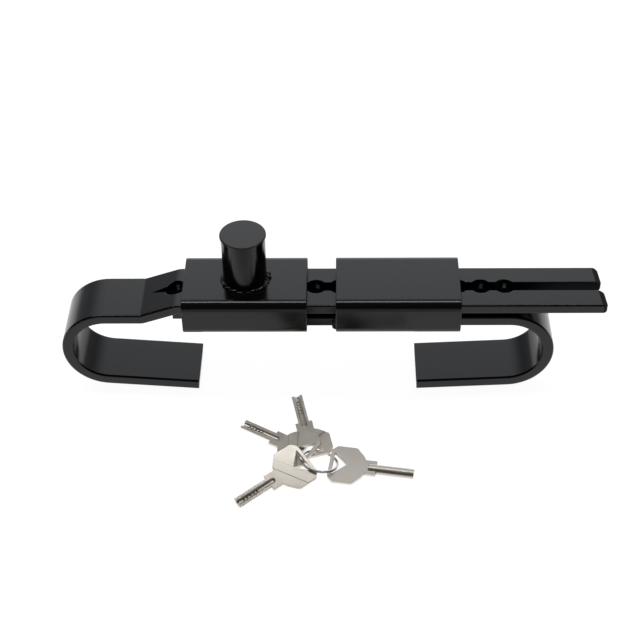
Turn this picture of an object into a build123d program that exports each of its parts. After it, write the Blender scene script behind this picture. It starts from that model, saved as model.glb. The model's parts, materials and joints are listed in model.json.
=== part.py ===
from build123d import *
import os
from math import acos, atan2, cos, hypot, radians, sin, tan

# Adjustable container lock: two flat hook bars, one sliding on the other inside two welded sleeves,
# held by a push-to-lock bolt that drops into a row of keyholes. Millimetres.
# Origin: the centre of the right hook's bend. +X runs along the bars towards the right hook,
# +Y points away from the keys, +Z points up from the floor that the hook tips rest on.

# Flat bars and their hooks
bar_width = 40.0
bar_thickness = 7.5
bar_gap = 3.0
edge_radius = 1.4
tip_radius = 1.6
hook_outer_radius = 31.2
hook_leg = 62.4
hook_shank = 33.5
right_leg_droop = 3.0

# Joggle and slot of the sliding bar
joggle_rise = 8.5
joggle_length = 24.1
joggle_bend_radius = 4.0
joggle_setback = 4.5
left_shank = 24.4
slot_width = 8.6
keyhole_diameter = 13.9
keyhole_pitch = 15.75
keyholes_behind = 3
keyholes_ahead = 11
keyhole_blend = 1.5
slot_point_length = 10.0
slot_point_offset = 1.5
prong_length = 65.8
prong_skew = 2.7
prong_bevel_length = 4.0
prong_bevel_depth = 2.2
prong_corner_radius = 3.0
prong_mouth_radius = 1.8
slot_edge_radius = 0.3
spacer_bolt_clearance = 0.7
neck_clearance = 0.3

# Sleeves of bent rectangular tube
sleeve_length = 82.7
sleeve_gap = 19.2
sleeve_width = 53.4
sleeve_height = 26.6
sleeve_wall = 2.2
sleeve_corner_radius = 6.0
sleeve_rim_radius = 0.6
bar_inset = 3.0
stop_nose_length = 11.0
stop_nose_width = 24.0
spacer_width = 30.0
spacer_inset = 14.0
weld_size = 2.8
weld_lump_pitch = 2.4
lock_weld_size = 2.6

# Cylinder housing on the lock sleeve
housing_diameter = 29.1
housing_height = 38.3
housing_bore = 22.0
housing_standoff = 0.6
housing_lip = 1.2
housing_lip_hole = 16.0
foot_weld_size = 2.0
cap_thickness = 1.5
cap_overhang = 0.75
cap_edge_radius = 0.7
cap_lip_depth = 3.0
cap_lip_wall = 1.15

# Push-in barrel, bolt and spring
bolt_travel = 9.0
bolt_diameter = 13.0
neck_diameter = 8.0
neck_reach = 8.9
bolt_standoff = 0.7
bolt_lead = 0.5
spigot_length = 2.5
bush_height = 3.5
barrel_clearance_below = 0.5
barrel_foot_diameter = 18.0
barrel_head_start = 10.2
barrel_nose_diameter = 18.0
barrel_nose_height = 3.2
barrel_to_cap = 0.5
bore_floor = 3.1
spring_wire = 1.3
spring_turns = 6.0
cross_pin_diameter = 1.5
guide_pin_diameter = 3.0
guide_pin_height = 2.6
guide_slot_depth = 1.7
guide_pin_in_wall = 2.6

# Key plug, cam, tongue and pin tumblers
plug_diameter = 11.0
plug_ring_height = 1.2
plug_ring_diameter = 14.4
plug_ring_hole = 9.2
cam_diameter = 8.8
cam_offset = 0.85
cam_height = 4.2
cam_from_top = 8.5
tongue_height = 3.8
tongue_width = 4.0
tongue_reach = 10.6
pocket_depth = 1.5
throw_angle = 45.0
pocket_play = 0.3
keyway_floor = 0.5
keyway_clearance = 0.15
keyway_flat = 0.1
pin_count = 5
pin_pitch = 2.6
pin_first = 5.7
pin_diameter = 2.0
pin_tip_height = 0.4
pin_tip_chamfer = 0.5
driver_length = 1.5
driver_spring_wire = 0.3
driver_spring_turns = 3.0
cover_thickness = 0.6
cover_width = 3.0
cover_seat = 8.3

# Keys and their ring
key_thickness = 2.2
key_bow_width = 29.4
key_bow_end_width = 21.6
key_bow_shoulder = 3.5
key_bow_corner = 2.5
key_narrowing_start = 16.5
key_root_from_end = 22.0
key_root_width = 17.0
key_neck_from_end = 23.5
key_neck_width = 11.4
key_collar_from_end = 31.0
key_collar_width = 11.6
key_hole_depth = 9.0
key_hole_width = 18.0
key_hole_margin = 2.4
key_hole_corner = 0.5
key_length = 55.6
key_blade_start = 26.0
key_blade_radius = 3.6
key_channel_radius = 2.0
key_channel_depth = 1.4
key_channel_start = 28.0
key_dimple_radius = 0.9
key_dimple_pitch = 2.6
key_first_dimple = 5.0
key_band_width = 6.0
key_band_height = 0.25
key_band_angle = 121.0
key_band_from_end = 15.0
key_edge_radius = 0.25
ring_diameter = 25.6
ring_wire = 1.6

# Where the ring lies, how far from it each key's ring end lies, their heights above the floor,
# and how they are turned
ring_spot_x = -127.27
ring_spot_y = -92.76
ring_spot_height = 4.38
ring_tilt = -13.81
ring_swing = 10.39
key_1_x = -7.69
key_1_y = -1.44
key_1_height = 8.33
key_1_heading = -142.87
key_1_pitch = 6.07
key_1_roll = -17.03
key_2_x = -4.89
key_2_y = 5.48
key_2_height = 5.03
key_2_heading = 146.95
key_2_pitch = 2.59
key_2_roll = -6.18
key_3_x = -4.22
key_3_y = 5.6
key_3_height = 2.57
key_3_heading = 102.22
key_3_pitch = -2.42
key_3_roll = -6.25
key_4_x = 6.73
key_4_y = -0.36
key_4_height = 2.91
key_4_heading = -9.2
key_4_pitch = 0.21
key_4_roll = 184.53

# Clearances
running_clearance = 0.05
press_clearance = 0.02
pin_clearance = 0.1
cam_clearance = 0.1
spring_clearance = 0.05
side_play = 0.2

# Heights of the bars and sleeves, from the right hook's bend upwards
plain_top = hook_outer_radius
plain_bottom = plain_top - bar_thickness
slide_bottom = plain_top + bar_gap
slide_top = slide_bottom + bar_thickness
sleeve_bottom = plain_bottom - sleeve_wall
sleeve_top = sleeve_bottom + sleeve_height
sleeve_middle = (sleeve_bottom + sleeve_top) / 2

# Places along the bars
guide_end = -hook_shank
guide_start = guide_end - sleeve_length
lock_end = guide_start - sleeve_gap
lock_start = lock_end - sleeve_length
bolt_x = (lock_start + lock_end) / 2
joggle_end = lock_start - joggle_setback
joggle_start = joggle_end - joggle_length
left_hook_x = joggle_start - left_shank
left_hook_z = slide_top - joggle_rise - hook_outer_radius

# The floor under the right hook's tip, and the leg angle that brings the left hook's tip down to it
right_droop = radians(right_leg_droop)
floor_z = -hook_outer_radius * cos(right_droop) - hook_leg * sin(right_droop)
left_drop = left_hook_z - floor_z
left_droop = atan2(hook_leg, hook_outer_radius) - acos(left_drop / hypot(hook_leg, hook_outer_radius))


def hook_tip(droop):
    """Outer corner of a hook's leg, from the bend's centre, for a hook that opens to the left."""
    along = hook_outer_radius * sin(droop) - hook_leg * cos(droop)
    down = -hook_outer_radius * cos(droop) - hook_leg * sin(droop)
    return along, down


def hook_bend_end(radius, droop):
    """End of the bend at one radius, from the bend's centre, for a hook that opens to the left."""
    return radius * sin(droop), -radius * cos(droop)


def hook_inner_tip(droop):
    """Inner corner of a hook's leg, one bar thickness inside the outer one."""
    along, down = hook_tip(droop)
    return along - bar_thickness * sin(droop), down + bar_thickness * cos(droop)


hook_inner_radius = hook_outer_radius - bar_thickness

# Plain hook bar: one flat strip from inside the lock sleeve to the right hook's tip.
# The nose at its left end stops the joggle of the sliding bar.
plain_start = lock_start + bar_inset
neck_hole = neck_diameter + 2 * neck_clearance
with BuildPart() as plain_hook_bar:
    with BuildSketch(Plane.XZ) as plain_side:
        with BuildLine():
            outer_bend = hook_bend_end(hook_outer_radius, right_droop)
            inner_bend = hook_bend_end(hook_inner_radius, right_droop)
            Line((plain_start, plain_top), (0, plain_top))
            ThreePointArc((0, hook_outer_radius), (hook_outer_radius, 0), outer_bend)
            Line(outer_bend, hook_tip(right_droop))
            Line(hook_tip(right_droop), hook_inner_tip(right_droop))
            Line(hook_inner_tip(right_droop), inner_bend)
            ThreePointArc(inner_bend, (hook_inner_radius, 0), (0, hook_inner_radius))
            Line((0, plain_bottom), (plain_start, plain_bottom))
            Line((plain_start, plain_bottom), (plain_start, plain_top))
        make_face()
        tips = [v for v in plain_side.vertices() if v.Z < -hook_inner_radius and v.X < -hook_shank / 2]
        fillet(tips, tip_radius)
    extrude(amount=bar_width / 2, both=True)
    fillet(plain_hook_bar.faces().filter_by(Axis.Y).edges(), edge_radius)
    with BuildSketch(Plane.XY.offset(plain_top)):
        with Locations((plain_start, 0)):
            Rectangle(stop_nose_length, stop_nose_width, align=(Align.MAX, Align.CENTER))
    extrude(amount=-bar_thickness)
    with BuildSketch(Plane.XY.offset(plain_top)):
        with Locations((bolt_x, 0)):
            Circle(neck_hole / 2)
    extrude(amount=-bar_thickness, mode=Mode.SUBTRACT)
plain_hook_bar.part.label = "plain_hook_bar"

# Slotted hook bar: the sliding strip, joggled up into the sleeves
joggle_angle = atan2(joggle_rise, joggle_length)
joggle_shift = bar_thickness * tan(joggle_angle / 2)
leg_top = slide_top - joggle_rise
first_keyhole = bolt_x - keyholes_behind * keyhole_pitch
last_keyhole = bolt_x + keyholes_ahead * keyhole_pitch
prong_end = last_keyhole + prong_length
slot_reach = prong_end + prong_skew
keyhole_steps = range(-keyholes_behind, keyholes_ahead + 1)
keyhole_spots = [(bolt_x + step * keyhole_pitch, 0) for step in keyhole_steps]
slot_point_x = first_keyhole - keyhole_diameter / 2 - slot_point_length
prong_end_plane = Plane(
    origin=(prong_end, 0, slide_top),
    x_dir=(bar_width, prong_skew, 0),
    z_dir=(prong_skew, -bar_width, 0),
)


def mirrored(point):
    """A point of the left-opening hook, turned over for the left hook's own place."""
    return left_hook_x - point[0], left_hook_z + point[1]


with BuildPart() as slotted_hook_bar:
    with BuildSketch(Plane.XZ) as slotted_side:
        with BuildLine():
            left_outer_bend = mirrored(hook_bend_end(hook_outer_radius, left_droop))
            left_inner_bend = mirrored(hook_bend_end(hook_inner_radius, left_droop))
            left_outer_tip = mirrored(hook_tip(left_droop))
            left_inner_tip = mirrored(hook_inner_tip(left_droop))
            FilletPolyline(
                (left_hook_x, leg_top),
                (joggle_start, leg_top),
                (joggle_end, slide_top),
                (slot_reach, slide_top),
                radius=[joggle_bend_radius, joggle_bend_radius + bar_thickness],
            )
            Line((slot_reach, slide_top), (slot_reach, slide_bottom))
            FilletPolyline(
                (slot_reach, slide_bottom),
                (joggle_end + joggle_shift, slide_bottom),
                (joggle_start + joggle_shift, leg_top - bar_thickness),
                (left_hook_x, leg_top - bar_thickness),
                radius=[joggle_bend_radius, joggle_bend_radius + bar_thickness],
            )
            ThreePointArc(
                (left_hook_x, left_hook_z + hook_inner_radius),
                (left_hook_x - hook_inner_radius, left_hook_z),
                left_inner_bend,
            )
            Line(left_inner_bend, left_inner_tip)
            Line(left_inner_tip, left_outer_tip)
            Line(left_outer_tip, left_outer_bend)
            ThreePointArc(
                left_outer_bend,
                (left_hook_x - hook_outer_radius, left_hook_z),
                (left_hook_x, leg_top),
            )
        make_face()
        left_tips = [
            v for v in slotted_side.vertices()
            if v.Z < left_hook_z - hook_inner_radius and v.X > left_hook_x + hook_leg / 2
        ]
        fillet(left_tips, tip_radius)
    extrude(amount=bar_width / 2, both=True)
    with BuildSketch(Plane.XY.offset(slide_top)):
        with BuildLine():
            Polyline(
                (prong_end - prong_skew / 2, bar_width / 2),
                (prong_end + prong_skew / 2, -bar_width / 2),
                (slot_reach + prong_length, -bar_width),
                (slot_reach + prong_length, bar_width),
                (prong_end - prong_skew / 2, bar_width / 2),
            )
        make_face()
    extrude(amount=-bar_thickness, mode=Mode.SUBTRACT)
    end_corners = slotted_hook_bar.edges().filter_by(Axis.Z)
    fillet(end_corners, prong_corner_radius)
    long_faces = slotted_hook_bar.faces().filter_by(Axis.Y)
    fillet(long_faces.edges(), edge_radius)
    with BuildSketch(Plane.XY.offset(slide_top)) as slot_outline:
        slot_length = slot_reach - first_keyhole
        with Locations((first_keyhole + slot_length / 2, 0)):
            Rectangle(slot_length, slot_width)
        with Locations(keyhole_spots):
            Circle(keyhole_diameter / 2)
        waists = slot_outline.vertices().filter_by_position(
            Axis.X, first_keyhole, last_keyhole + keyhole_diameter / 2
        )
        fillet([v for v in waists if abs(abs(v.Y) - slot_width / 2) < keyhole_blend / 2], keyhole_blend)
        with BuildLine():
            Polyline(
                (slot_point_x, slot_point_offset),
                (first_keyhole, slot_width / 2),
                (first_keyhole, -slot_width / 2),
                (slot_point_x, slot_point_offset),
            )
        make_face()
        for side in (-1, 1):
            mouth_x = prong_end - side * prong_skew * slot_width / (2 * bar_width)
            with Locations((mouth_x, side * slot_width / 2)):
                Rectangle(2 * prong_mouth_radius, 2 * prong_mouth_radius)
            with Locations((mouth_x - prong_mouth_radius, side * (slot_width / 2 + prong_mouth_radius))):
                Circle(prong_mouth_radius, mode=Mode.SUBTRACT)
    extrude(amount=joggle_rise, both=True, mode=Mode.SUBTRACT)
    with BuildSketch(prong_end_plane):
        with BuildLine():
            Polyline(
                (-prong_bevel_length, 0),
                (prong_bevel_length, -2 * prong_bevel_depth),
                (prong_bevel_length, prong_bevel_depth),
                (-prong_bevel_length, prong_bevel_depth),
                (-prong_bevel_length, 0),
            )
        make_face()
    extrude(amount=bar_width, both=True, mode=Mode.SUBTRACT)
    bevel_start = prong_end - prong_bevel_length
    slot_rim = [
        e for e in slotted_hook_bar.edges().filter_by_position(Axis.X, slot_point_x, bevel_start)
        if abs(e.center().Y) < (slot_width + keyhole_diameter) / 2
        and e.center().Z > (slide_bottom + slide_top) / 2
        and e.bounding_box().size.Z < bar_thickness - slot_edge_radius
    ]
    fillet(slot_rim, slot_edge_radius)
slotted_hook_bar.part.label = "slotted_hook_bar"

# Sleeves: two lengths of the same rectangular tube, the left one with a round window in its roof
sleeve_inside_width = sleeve_width - 2 * sleeve_wall
sleeve_inside_height = sleeve_height - 2 * sleeve_wall
with BuildPart() as lock_sleeve:
    with BuildSketch(Plane.YZ.offset(lock_start)):
        with Locations((0, sleeve_middle)):
            RectangleRounded(sleeve_width, sleeve_height, sleeve_corner_radius)
            RectangleRounded(
                sleeve_inside_width,
                sleeve_inside_height,
                sleeve_corner_radius - sleeve_wall,
                mode=Mode.SUBTRACT,
            )
    extrude(amount=sleeve_length)
    fillet(lock_sleeve.faces().filter_by(Axis.X).edges(), sleeve_rim_radius)
    with BuildSketch(Plane.XY.offset(sleeve_top)):
        with Locations((bolt_x, 0)):
            Circle(housing_diameter / 2 + press_clearance)
    extrude(amount=-2 * sleeve_wall, mode=Mode.SUBTRACT)
lock_sleeve.part.label = "lock_sleeve"

with BuildPart() as guide_sleeve:
    with BuildSketch(Plane.YZ.offset(guide_start)):
        with Locations((0, sleeve_middle)):
            RectangleRounded(sleeve_width, sleeve_height, sleeve_corner_radius)
            RectangleRounded(
                sleeve_inside_width,
                sleeve_inside_height,
                sleeve_corner_radius - sleeve_wall,
                mode=Mode.SUBTRACT,
            )
    extrude(amount=sleeve_length)
    fillet(guide_sleeve.faces().filter_by(Axis.X).edges(), sleeve_rim_radius)
guide_sleeve.part.label = "guide_sleeve"

# Spacer strips that carry the slotted bar above the plain one
spacer_length = sleeve_length - 2 * spacer_inset
with BuildPart() as lock_spacer:
    with BuildSketch(Plane.XY.offset(plain_top)):
        with Locations((bolt_x, 0)):
            Rectangle(spacer_length, spacer_width)
            Circle(bolt_diameter / 2 + spacer_bolt_clearance, mode=Mode.SUBTRACT)
    extrude(amount=bar_gap)
lock_spacer.part.label = "lock_spacer"

with BuildPart() as guide_spacer:
    with BuildSketch(Plane.XY.offset(plain_top)):
        with Locations(((guide_start + guide_end) / 2, 0)):
            Rectangle(spacer_length, spacer_width)
    extrude(amount=bar_gap)
guide_spacer.part.label = "guide_spacer"

# Weld lumps between the plain bar's sides and the guide sleeve's left end
weld_height = plain_top - sleeve_bottom
lump_rows = round(weld_height / weld_lump_pitch)
lump_spots = [
    (guide_start, side * bar_width / 2, sleeve_bottom + weld_lump_pitch * (row + 1 / 2))
    for side in (-1, 1)
    for row in range(lump_rows)
]
with BuildPart() as guide_sleeve_welds:
    with Locations(lump_spots):
        Sphere(weld_size)
    with BuildSketch(Plane.XY.offset(sleeve_bottom)):
        with Locations(
            (guide_start, bar_width / 2 + press_clearance),
            (guide_start, -bar_width / 2 - press_clearance - weld_size),
        ):
            Rectangle(weld_size, weld_size, align=(Align.MAX, Align.MIN))
    extrude(amount=weld_height, mode=Mode.INTERSECT)
guide_sleeve_welds.part.label = "guide_sleeve_welds"

# Weld bead along the plain bar's left end, on the lock sleeve's floor
with BuildPart() as lock_sleeve_weld:
    with BuildSketch(Plane.XZ):
        with Locations((plain_start, plain_bottom)):
            Circle(lock_weld_size)
            Rectangle(lock_weld_size, lock_weld_size, align=(Align.MAX, Align.MIN), mode=Mode.INTERSECT)
    extrude(amount=bar_width / 2 - edge_radius, both=True)
    with BuildSketch(Plane.XY.offset(plain_bottom)):
        with Locations((plain_start, 0)):
            Rectangle(
                stop_nose_length,
                stop_nose_width + 2 * press_clearance,
                align=(Align.MAX, Align.CENTER),
            )
    extrude(amount=bar_thickness, mode=Mode.SUBTRACT)
lock_sleeve_weld.part.label = "lock_sleeve_weld"

# The lock's upright axis, and the heights of what stands on it
lock_axis = Axis((bolt_x, 0, 0), (0, 0, 1))
housing_bottom = slide_top + housing_standoff
housing_floor_top = housing_bottom + housing_lip
cap_top = sleeve_top + housing_height
tube_top = cap_top - cap_thickness
bush_top = housing_floor_top + bush_height
shank_bottom = slide_top + bolt_standoff
barrel_bottom = bush_top + barrel_clearance_below + bolt_travel
head_bottom = barrel_bottom + barrel_head_start
barrel_top = tube_top - barrel_to_cap
head_top = barrel_top - barrel_nose_height
bore_bottom = barrel_bottom + bore_floor
ring_seat = barrel_top - plug_ring_height
plug_top = ring_seat - pin_clearance
plug_bottom = bore_bottom + running_clearance
cam_bottom = plug_top - cam_from_top
guide_pin_z = head_bottom + guide_pin_height
first_pin_z = barrel_bottom + pin_first
cross_pin_z = barrel_bottom + spigot_length / 2
barrel_head_radius = housing_bore / 2 - running_clearance
barrel_foot_radius = barrel_foot_diameter / 2


def throw_plane(height):
    """Plane level at one height, its X along the tongue's throw."""
    throw = radians(throw_angle)
    return Plane(origin=(bolt_x, 0, height), x_dir=(cos(throw), sin(throw), 0), z_dir=(0, 0, 1))


def turned(*outline):
    """Closed side profile of a turned piece, from pairs of radius and height."""
    return [(bolt_x + radius, height) for radius, height in (*outline, outline[0])]


pin_plane = Plane(origin=(bolt_x, 0, first_pin_z), x_dir=(-1, 0, 0), z_dir=(0, 1, 0))
pin_spots = [(0, step * pin_pitch) for step in range(pin_count)]
guide_plane = Plane(origin=(bolt_x, 0, guide_pin_z), x_dir=(0, -1, 0), z_dir=(-1, 0, 0))
chamber_diameter = pin_diameter + 2 * pin_clearance

# Cylinder housing: a tube with an inward lip at its foot and two pockets for the tongue
pocket_margin = (cam_height + 2 * pin_clearance) / 2
pocket_middle = cam_bottom + cam_height / 2
pocket_width = tongue_width + 2 * pocket_play
with BuildPart() as cylinder_housing:
    with BuildSketch(Plane.XZ):
        with BuildLine():
            Polyline(turned(
                (housing_lip_hole / 2, housing_bottom),
                (housing_diameter / 2, housing_bottom),
                (housing_diameter / 2, tube_top),
                (housing_bore / 2, tube_top),
                (housing_bore / 2, housing_floor_top),
                (housing_lip_hole / 2, housing_floor_top),
            ))
        make_face()
    revolve(axis=lock_axis)
    for drop in (0, bolt_travel):
        with BuildSketch(throw_plane(pocket_middle - pocket_margin - drop)):
            Rectangle(
                housing_bore / 2 + pocket_depth,
                pocket_width,
                align=(Align.MIN, Align.CENTER),
            )
        extrude(amount=2 * pocket_margin, mode=Mode.SUBTRACT)
    with BuildSketch(guide_plane):
        Circle(guide_pin_diameter / 2 + press_clearance)
    extrude(amount=housing_bore / 2 + guide_pin_in_wall + press_clearance, mode=Mode.SUBTRACT)
cylinder_housing.part.label = "cylinder_housing"

# Weld ring around the housing's foot
with BuildPart() as housing_foot_weld:
    with BuildSketch(Plane.XZ):
        with Locations((bolt_x + housing_diameter / 2 + press_clearance, sleeve_top)):
            Circle(foot_weld_size)
            Rectangle(foot_weld_size, foot_weld_size, align=(Align.MIN, Align.MIN), mode=Mode.INTERSECT)
    revolve(axis=lock_axis)
housing_foot_weld.part.label = "housing_foot_weld"

# Dust cap: a flat lid whose rim plugs into the housing
cap_lip_radius = housing_bore / 2 - running_clearance
with BuildPart() as dust_cap:
    with BuildSketch(Plane.XY.offset(tube_top)):
        with Locations((bolt_x, 0)):
            Circle(housing_diameter / 2 + cap_overhang)
    extrude(amount=cap_thickness)
    fillet(dust_cap.faces().sort_by(Axis.Z)[-1].edges(), cap_edge_radius)
    with BuildSketch(Plane.XY.offset(tube_top)):
        with Locations((bolt_x, 0)):
            Circle(cap_lip_radius)
            Circle(cap_lip_radius - cap_lip_wall, mode=Mode.SUBTRACT)
    extrude(amount=-cap_lip_depth)
dust_cap.part.label = "dust_cap"

# Guide bush for the bolt, on the housing's lip
with BuildPart() as guide_bush:
    with BuildSketch(Plane.XY.offset(housing_floor_top)):
        with Locations((bolt_x, 0)):
            Circle(housing_bore / 2 - press_clearance)
            Circle(bolt_diameter / 2 + running_clearance, mode=Mode.SUBTRACT)
    extrude(amount=bush_height)
guide_bush.part.label = "guide_bush"

# Lock bolt: a shank that fills a keyhole, a neck that runs in the slot, a spigot in the barrel
cross_pin_hole = cross_pin_diameter + 2 * press_clearance
shank_radius = bolt_diameter / 2
neck_radius = neck_diameter / 2
neck_tip = shank_bottom - neck_reach
with BuildPart() as lock_bolt:
    with BuildSketch(Plane.XZ):
        with BuildLine():
            Polyline(turned(
                (0, neck_tip),
                (neck_radius - bolt_lead, neck_tip),
                (neck_radius, neck_tip + bolt_lead),
                (neck_radius, shank_bottom),
                (shank_radius - bolt_lead, shank_bottom),
                (shank_radius, shank_bottom + bolt_lead),
                (shank_radius, barrel_bottom),
                (neck_radius, barrel_bottom),
                (neck_radius, barrel_bottom + spigot_length),
                (0, barrel_bottom + spigot_length),
            ))
        make_face()
    revolve(axis=lock_axis)
    with BuildSketch(Plane.XZ):
        with Locations((bolt_x, cross_pin_z)):
            Circle(cross_pin_hole / 2)
    extrude(amount=shank_radius, both=True, mode=Mode.SUBTRACT)
lock_bolt.part.label = "lock_bolt"

# Cross pin through the barrel's foot and the bolt's spigot
with BuildPart() as bolt_cross_pin:
    with BuildSketch(Plane.XZ):
        with Locations((bolt_x, cross_pin_z)):
            Circle(cross_pin_diameter / 2)
    extrude(amount=barrel_foot_radius - pin_clearance, both=True)
bolt_cross_pin.part.label = "bolt_cross_pin"

# Lock barrel: foot, head and nose in one turning, bored for the plug and slotted for pins and tongue
guide_slot_bottom = -guide_pin_diameter / 2 - running_clearance
guide_slot_top = guide_pin_diameter / 2 + bolt_travel + side_play
tongue_bottom = cam_bottom + side_play
with BuildPart() as lock_barrel:
    with BuildSketch(Plane.XZ):
        with BuildLine():
            Polyline(turned(
                (0, barrel_bottom),
                (barrel_foot_radius, barrel_bottom),
                (barrel_foot_radius, head_bottom),
                (barrel_head_radius, head_bottom),
                (barrel_head_radius, head_top),
                (barrel_nose_diameter / 2, head_top),
                (barrel_nose_diameter / 2, barrel_top),
                (plug_ring_diameter / 2 + press_clearance, barrel_top),
                (plug_ring_diameter / 2 + press_clearance, ring_seat),
                (plug_diameter / 2 + running_clearance, ring_seat),
                (plug_diameter / 2 + running_clearance, bore_bottom),
                (0, bore_bottom),
            ))
        make_face()
    revolve(axis=lock_axis)
    with BuildSketch(Plane.XY.offset(barrel_bottom)):
        with Locations((bolt_x, 0)):
            Circle(neck_radius + press_clearance)
    extrude(amount=spigot_length + pin_clearance, mode=Mode.SUBTRACT)
    with BuildSketch(Plane.XZ):
        with Locations((bolt_x, cross_pin_z)):
            Circle(cross_pin_hole / 2)
    extrude(amount=housing_bore / 2, both=True, mode=Mode.SUBTRACT)
    with BuildSketch(pin_plane):
        with Locations(pin_spots):
            Circle(chamber_diameter / 2)
    extrude(amount=housing_bore / 2, mode=Mode.SUBTRACT)
    with BuildSketch(pin_plane.offset(cover_seat)):
        with Locations((0, (pin_count - 1) * pin_pitch / 2)):
            Rectangle(cover_width + 2 * press_clearance, pin_count * pin_pitch + 2 * press_clearance)
    extrude(amount=housing_bore / 2, mode=Mode.SUBTRACT)
    with BuildSketch(guide_plane.offset(barrel_head_radius - guide_slot_depth)):
        with Locations((0, guide_slot_bottom)):
            Rectangle(
                guide_pin_diameter + 2 * pin_clearance,
                guide_slot_top - guide_slot_bottom,
                align=(Align.CENTER, Align.MIN),
            )
    extrude(amount=housing_bore / 2, mode=Mode.SUBTRACT)
    with BuildSketch(throw_plane(tongue_bottom - running_clearance)):
        Rectangle(
            housing_bore,
            tongue_width + 2 * running_clearance,
            align=(Align.MIN, Align.CENTER),
        )
    extrude(amount=tongue_height + 2 * running_clearance, mode=Mode.SUBTRACT)
lock_barrel.part.label = "lock_barrel"

# Guide pin: pressed into the housing's wall, it runs in the barrel's slot
with BuildPart() as barrel_guide_pin:
    with BuildSketch(guide_plane.offset(barrel_head_radius - guide_slot_depth + pin_clearance)):
        Circle(guide_pin_diameter / 2)
    guide_pin_end = housing_bore / 2 + guide_pin_in_wall
    extrude(amount=guide_pin_end - (barrel_head_radius - guide_slot_depth + pin_clearance))
barrel_guide_pin.part.label = "barrel_guide_pin"

# Return spring between the bush and the barrel's head
spring_radius = (barrel_foot_radius + housing_bore / 2) / 2
spring_start = bush_top + spring_wire / 2 + spring_clearance
spring_end = head_bottom - spring_wire / 2 - spring_clearance
with BuildPart() as bolt_spring:
    with BuildLine() as spring_coil:
        Helix(
            pitch=(spring_end - spring_start) / spring_turns,
            height=spring_end - spring_start,
            radius=spring_radius,
            center=(bolt_x, 0, spring_start),
        )
    with BuildSketch(Plane(origin=spring_coil.line @ 0, z_dir=spring_coil.line % 0)):
        Circle(spring_wire / 2)
    sweep(is_frenet=True)
bolt_spring.part.label = "bolt_spring"

# Key plug with its off-centre cam, half-round keyway and pin chambers
keyway_radius = key_blade_radius + keyway_clearance
with BuildPart() as key_plug:
    with BuildSketch(Plane.XY.offset(plug_bottom)):
        with Locations((bolt_x, 0)):
            Circle(plug_diameter / 2)
    extrude(amount=plug_top - plug_bottom)
    with BuildSketch(Plane.XY.offset(cam_bottom)):
        with Locations((bolt_x, 0)):
            Circle(plug_diameter)
        with Locations((bolt_x, -cam_offset)):
            Circle(cam_diameter / 2, mode=Mode.SUBTRACT)
    extrude(amount=cam_height, mode=Mode.SUBTRACT)
    with BuildSketch(Plane.XY.offset(plug_top)):
        with Locations((bolt_x, keyway_flat)):
            Circle(keyway_radius)
            Rectangle(
                2 * keyway_radius,
                keyway_radius,
                align=(Align.CENTER, Align.MAX),
                mode=Mode.INTERSECT,
            )
    extrude(amount=plug_bottom + keyway_floor - plug_top, mode=Mode.SUBTRACT)
    with BuildSketch(pin_plane):
        with Locations(pin_spots):
            Circle(chamber_diameter / 2)
    extrude(amount=plug_diameter, mode=Mode.SUBTRACT)
key_plug.part.label = "key_plug"

# Retaining ring that keeps the plug in the barrel
with BuildPart() as plug_retaining_ring:
    with BuildSketch(Plane.XY.offset(ring_seat)):
        with Locations((bolt_x, 0)):
            Circle(plug_ring_diameter / 2)
            Circle(plug_ring_hole / 2, mode=Mode.SUBTRACT)
    extrude(amount=plug_ring_height)
plug_retaining_ring.part.label = "plug_retaining_ring"

# Locking tongue: a square slide that the cam throws into the housing's pocket
tongue_inner = cam_diameter / 2 - cam_offset * cos(radians(throw_angle)) + cam_clearance
with BuildPart() as locking_tongue:
    with BuildSketch(throw_plane(tongue_bottom)):
        with Locations((tongue_inner, 0)):
            Rectangle(tongue_reach - tongue_inner, tongue_width, align=(Align.MIN, Align.CENTER))
    extrude(amount=tongue_height)
locking_tongue.part.label = "locking_tongue"

# Pin tumblers: key pins in the plug, driver pins and springs in the barrel, and their cover strip
key_pin_length = plug_diameter / 2 - running_clearance - pin_tip_height
with BuildPart() as key_pins:
    with BuildSketch(pin_plane.offset(pin_tip_height)):
        with Locations(pin_spots):
            Circle(pin_diameter / 2)
    extrude(amount=key_pin_length)
    chamfer(key_pins.edges().group_by(Axis.Y)[0], pin_tip_chamfer)
key_pins.part.label = "key_pins"

driver_start = plug_diameter / 2 + pin_clearance
with BuildPart() as driver_pins:
    with BuildSketch(pin_plane.offset(driver_start)):
        with Locations(pin_spots):
            Circle(pin_diameter / 2)
    extrude(amount=driver_length)
driver_pins.part.label = "driver_pins"

driver_coil_radius = (pin_diameter - driver_spring_wire) / 2 - running_clearance
driver_coil_start = driver_start + driver_length + driver_spring_wire / 2 + spring_clearance
driver_coil_end = cover_seat - driver_spring_wire / 2 - spring_clearance
with BuildPart() as one_driver_spring:
    with BuildLine() as driver_coil:
        Helix(
            pitch=(driver_coil_end - driver_coil_start) / driver_spring_turns,
            height=driver_coil_end - driver_coil_start,
            radius=driver_coil_radius,
            center=(bolt_x, driver_coil_start, first_pin_z),
            direction=(0, 1, 0),
        )
    with BuildSketch(Plane(origin=driver_coil.line @ 0, z_dir=driver_coil.line % 0)):
        Circle(driver_spring_wire / 2)
    sweep(is_frenet=True)

with BuildPart() as driver_springs:
    with Locations([(0, 0, step * pin_pitch) for step in range(pin_count)]):
        add(one_driver_spring.part)
driver_springs.part.label = "driver_springs"

with BuildPart() as pin_cover:
    with BuildSketch(pin_plane.offset(cover_seat)):
        with Locations((0, (pin_count - 1) * pin_pitch / 2)):
            Rectangle(cover_width, pin_count * pin_pitch)
    extrude(amount=cover_thickness)
pin_cover.part.label = "pin_cover"

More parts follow.
